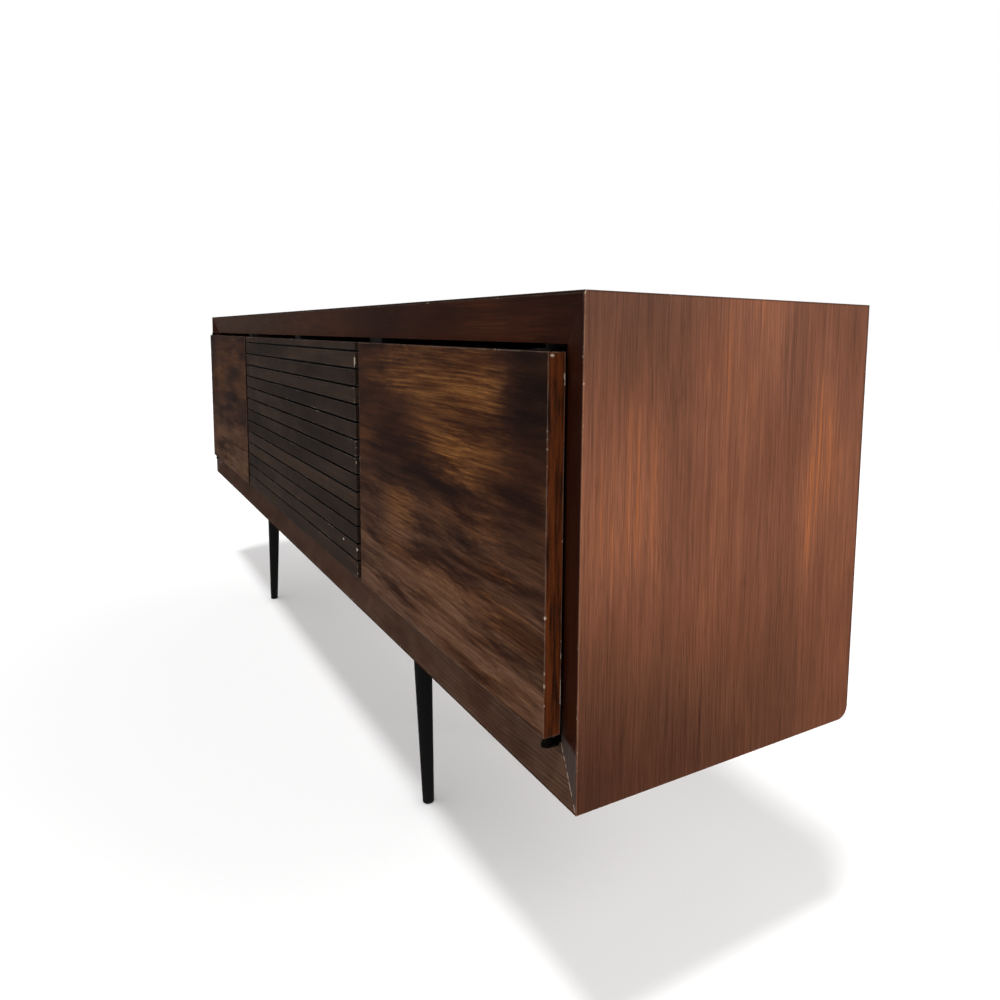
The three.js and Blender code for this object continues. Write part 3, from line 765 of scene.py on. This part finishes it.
def plastic():
    """Black moulded plastic with a fine texture, its blackness partly painted shade, so that the catches read
    as the dark gaps they sit in.
    """
    shader = Shader("catch_plastic")
    texture = shader.noise(scale=1200)
    black, brown = (0.0020, 0.0016, 0.0015, 1), (0.0040, 0.0035, 0.0030, 1)
    shader.set("Base Color", shader.blend(texture, black, brown))
    shader.set("Roughness", shader.ramp(texture, 0.3, 0.7, 0.45, 0.6))
    shader.bump(texture, 0.03 * MM, 0.5)
    return shader.material


# ---------- Screws ----------

SCREW_TURNS = 24  # a multiple of 8, so that the recess's corners fall on the turns
RECESS_REACH = 0.62  # of the recess's arms, as a share of the head's radius
RECESS_HALF_WIDTH = RECESS_REACH * math.tan(math.tau / SCREW_TURNS)
SCREW_HEIGHT = 1.0 * MM
SCREW_RADIUS = 3.0 * MM
TURN_BETWEEN_SCREWS = 0.7

SHEET = 2.5 * MM  # the steel of the hinge arms and of the brackets
STAY_FOOT = 2 * MM  # the thickness of the stays' feet
# Where the screws are: "in" is from an end or edge of the piece, "backs" from its back, "drops" from its top,
# and "rises" from its middle.
ARM_SCREW_IN = 14 * MM
ARM_SCREW_BACKS = (8 * MM, 26 * MM)
PLATE_SCREWS_IN = (5 * MM, 17 * MM)
BRACKET_SCREW_IN = 6 * MM
BRACKET_SCREW_RISES = (8 * MM, -8 * MM)
STAY_SCREW_IN = 5 * MM
STAY_SCREW_DROPS = (6 * MM, 24 * MM)
LEG_SCREW_IN = 9 * MM
BACK_SCREW_IN = 6 * MM
BACK_SCREW_STEP = 0.24


def recess_edge(turn):
    """How far out the cross recess reaches in one direction, as a share of the head's radius."""
    folded = (turn + math.pi / 4) % (math.pi / 2) - math.pi / 4
    arm_end = RECESS_REACH / math.cos(folded)
    arm_side = RECESS_HALF_WIDTH / max(abs(math.sin(folded)), 1e-9)
    return min(arm_end, arm_side)


def screw_head():
    """Vertices and faces of a domed head with a cross recess, around Z, of unit radius and height."""
    turns = [math.tau * step / SCREW_TURNS for step in range(SCREW_TURNS)]
    rings = [
        [(0.85 * recess_edge(turn), 0.30) for turn in turns],
        [(recess_edge(turn), 1 - 0.35 * recess_edge(turn) ** 2) for turn in turns],
        [(0.82, 0.72)] * SCREW_TURNS,
        [(1.0, 0.35)] * SCREW_TURNS,
        [(1.0, -0.1)] * SCREW_TURNS,
    ]
    points = [
        (reach * math.cos(turn), reach * math.sin(turn), level)
        for ring in rings
        for turn, (reach, level) in zip(turns, ring)
    ]
    middle = len(points)
    points.append((0, 0, rings[0][0][1]))
    faces = [tuple(reversed(range(middle - SCREW_TURNS, middle)))]
    for step in range(SCREW_TURNS):
        following = (step + 1) % SCREW_TURNS
        faces.append((middle, step, following))
        for ring in range(len(rings) - 1):
            inner, outer = ring * SCREW_TURNS, (ring + 1) * SCREW_TURNS
            faces.append((inner + step, outer + step, outer + following, inner + following))
    return points, faces


def add_screws(hardware, slot, body, name, places, facing):
    """Screw heads at places, whose tops face one way, each turned a little further than the last."""
    head_points, head_faces = screw_head()
    size = Matrix.Diagonal((SCREW_RADIUS, SCREW_RADIUS, SCREW_HEIGHT, 1))
    face_out = Vector(facing).to_track_quat("Z", "Y").to_matrix().to_4x4()
    points, faces = [], []
    for count, place in enumerate(places):
        turn = Matrix.Rotation(TURN_BETWEEN_SCREWS * count, 4, "Z")
        move = Matrix.Translation(place) @ face_out @ turn @ size
        faces.extend(tuple(len(points) + corner for corner in face) for face in head_faces)
        points.extend(move @ Vector(point) for point in head_points)
    mesh = bpy.data.meshes.new(name)
    mesh.from_pydata(points, [], faces)
    mesh.materials.append(hardware[slot])
    screws = bpy.data.objects.new(name, mesh)
    bpy.context.scene.collection.objects.link(screws)
    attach(screws, body)


def ends_in_x(node_name, outward):
    """A piece's inner and outer ends along the front."""
    low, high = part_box(node_name)
    return (low.x, high.x) if outward > 0 else (high.x, low.x)


def hinge_screws(hardware, side, outward):
    """Screws through a door's hinge arms into the rails, and through its pivot plates into the door."""
    for level, up in (("bottom", 1), ("top", -1)):
        arm = f"{side}_{level}_hinge_arm"
        low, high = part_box(arm)
        x = ends_in_x(arm, outward)[0] + outward * ARM_SCREW_IN
        surface = low.z + SHEET if up > 0 else high.z - SHEET
        places = [(x, high.y - back, surface) for back in ARM_SCREW_BACKS]
        add_screws(hardware, "hinge_steel", "case", f"{side}_{level}_arm_screws", places, (0, 0, up))

        plate = f"{side}_{level}_pivot_plate"
        low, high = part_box(plate)
        inner_end = ends_in_x(plate, outward)[0]
        middle = (low.y + high.y) / 2
        surface = low.z if up > 0 else high.z
        places = [(inner_end + outward * along, middle, surface) for along in PLATE_SCREWS_IN]
        name = f"{side}_{level}_plate_screws"
        add_screws(hardware, "hinge_steel", f"{side}_door", name, places, (0, 0, -up))


def flap_screws(hardware, side, outward):
    """Screws through the drop front's brackets into the dividers, and through its stays' feet."""
    bracket = f"{side}_flap_bracket"
    low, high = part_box(bracket)
    x = ends_in_x(bracket, outward)[1] - outward * BRACKET_SCREW_IN
    middle = (low.z + high.z) / 2
    places = [(x, high.y - SHEET, middle + rise) for rise in BRACKET_SCREW_RISES]
    add_screws(hardware, "hinge_steel", "case", f"{side}_bracket_screws", places, (0, -1, 0))

    stay = f"{side}_flap_stay"
    low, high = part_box(stay)
    x = ends_in_x(stay, outward)[0] + outward * STAY_SCREW_IN
    places = [(x, low.y + STAY_FOOT, high.z - drop) for drop in STAY_SCREW_DROPS]
    add_screws(hardware, "hinge_steel", "drop_front", f"{side}_stay_screws", places, (0, 1, 0))


def leg_screws(hardware, leg):
    """A screw near each corner of a leg's plate."""
    low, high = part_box(f"{leg}_leg_plate")
    places = [
        (x, y, low.z)
        for x in (low.x + LEG_SCREW_IN, high.x - LEG_SCREW_IN)
        for y in (low.y + LEG_SCREW_IN, high.y - LEG_SCREW_IN)
    ]
    add_screws(hardware, "black_metal", "case", f"{leg}_leg_screws", places, (0, 0, -1))


def evenly(start, end, step):
    """Places from start to end, as near to step apart as fits."""
    count = round((end - start) / step)
    return [start + (end - start) * place / count for place in range(count + 1)]


def back_screws(hardware):
    """A row of screws along each edge of the back board."""
    low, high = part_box("back_panel")
    columns = evenly(low.x + BACK_SCREW_IN, high.x - BACK_SCREW_IN, BACK_SCREW_STEP)
    rows = evenly(low.z + BACK_SCREW_IN, high.z - BACK_SCREW_IN, BACK_SCREW_STEP)
    places = [(x, high.y, z) for x in columns for z in (rows[0], rows[-1])]
    places += [(x, high.y, z) for z in rows[1:-1] for x in (columns[0], columns[-1])]
    add_screws(hardware, "hinge_steel", "case", "back_screws", places, (0, 1, 0))


def add_all_screws(hardware):
    for side, outward in (("left", -1), ("right", 1)):
        hinge_screws(hardware, side, outward)
        flap_screws(hardware, side, outward)
        for row in ("front", "rear"):
            leg_screws(hardware, f"{row}_{side}")
    back_screws(hardware)


# ---------- Finishing the CAD nodes ----------

OFFSET_STEP = 1.7  # how far each piece's pattern is moved from the last one's
EASED_WIDTHS = {"door_veneer": 0.9 * MM, "slat_wood": 0.7 * MM, "case_veneer": 0.6 * MM}
EASED_ANGLE = 40  # edges that turn less than this, in degrees, aren't eased


def veneer_material(name, offset):
    if "side" in name:
        return wood(name, END_PANEL, "Z", offset, side_panel_shade_and_seams, figure=panel_figure, heart=PANEL_HEART)
    return wood(name, FLAT_PANEL, "X", offset, panel_tone)


def frame_material(name, offset):
    if "stile" in name:
        return wood(name, STILE, "Z", offset, painted_light=stile_painted_light)
    # The rails' painted light: sheen on the top one, light from above on the bottom one.
    fade = top_rail_painted_sheen if "top" in name else bottom_rail_painted_light
    return wood(name, RAIL, "X", offset, painted_light=fade)


def any_door_material(name, offset):
    if name == "right_door":
        return door_material(name, 1, RIGHT_DOOR_SHARE, offset)
    return door_material(name, -1, LEFT_DOOR_SHARE, offset)


def slat_material(name, offset):
    return wood(name, SLAT, "X", offset, slat_groove_painted_shade)


def interior_material(name, offset):
    if "divider" in name:
        return wood(name, INTERIOR, "Z", offset, divider_painted_shade)
    return wood(name, INTERIOR, "X", offset)


def board_material(name, offset):
    return wood(name, BOARD, "X", offset)


WOOD_MAKERS = {
    "case_veneer": veneer_material,
    "frame_wood": frame_material,
    "door_veneer": any_door_material,
    "slat_wood": slat_material,
    "interior_wood": interior_material,
    "back_board": board_material,
}


def round_edges(node, width):
    """Eased arrises, which catch the light."""
    modifier = node.modifiers.new("eased_edges", "BEVEL")
    modifier.width = width
    modifier.segments = 2
    modifier.limit_method = "ANGLE"
    modifier.angle_limit = math.radians(EASED_ANGLE)


def finish_nodes(hardware):
    """Each CAD node gets its slot's material, and every piece of wood has a pattern of its own."""
    slots = {part["node"]: part["material_slot"] for part in frame["record"]["subparts"]}
    for count, (name, node) in enumerate(sorted(frame["nodes"].items())):
        slot = slots[name]
        node.data.materials.clear()
        if slot in hardware:
            node.data.materials.append(hardware[slot])
        else:
            node.data.materials.append(WOOD_MAKERS[slot](name, OFFSET_STEP * count))
        if slot in EASED_WIDTHS:
            round_edges(node, EASED_WIDTHS[slot])


add_camera()
add_world()
add_lights()
add_floor()
hardware = {"black_metal": painted_metal(), "hinge_steel": steel(), "catch_plastic": plastic()}
finish_nodes(hardware)
add_all_screws(hardware)
bpy.context.scene.view_settings.view_transform = "Standard"
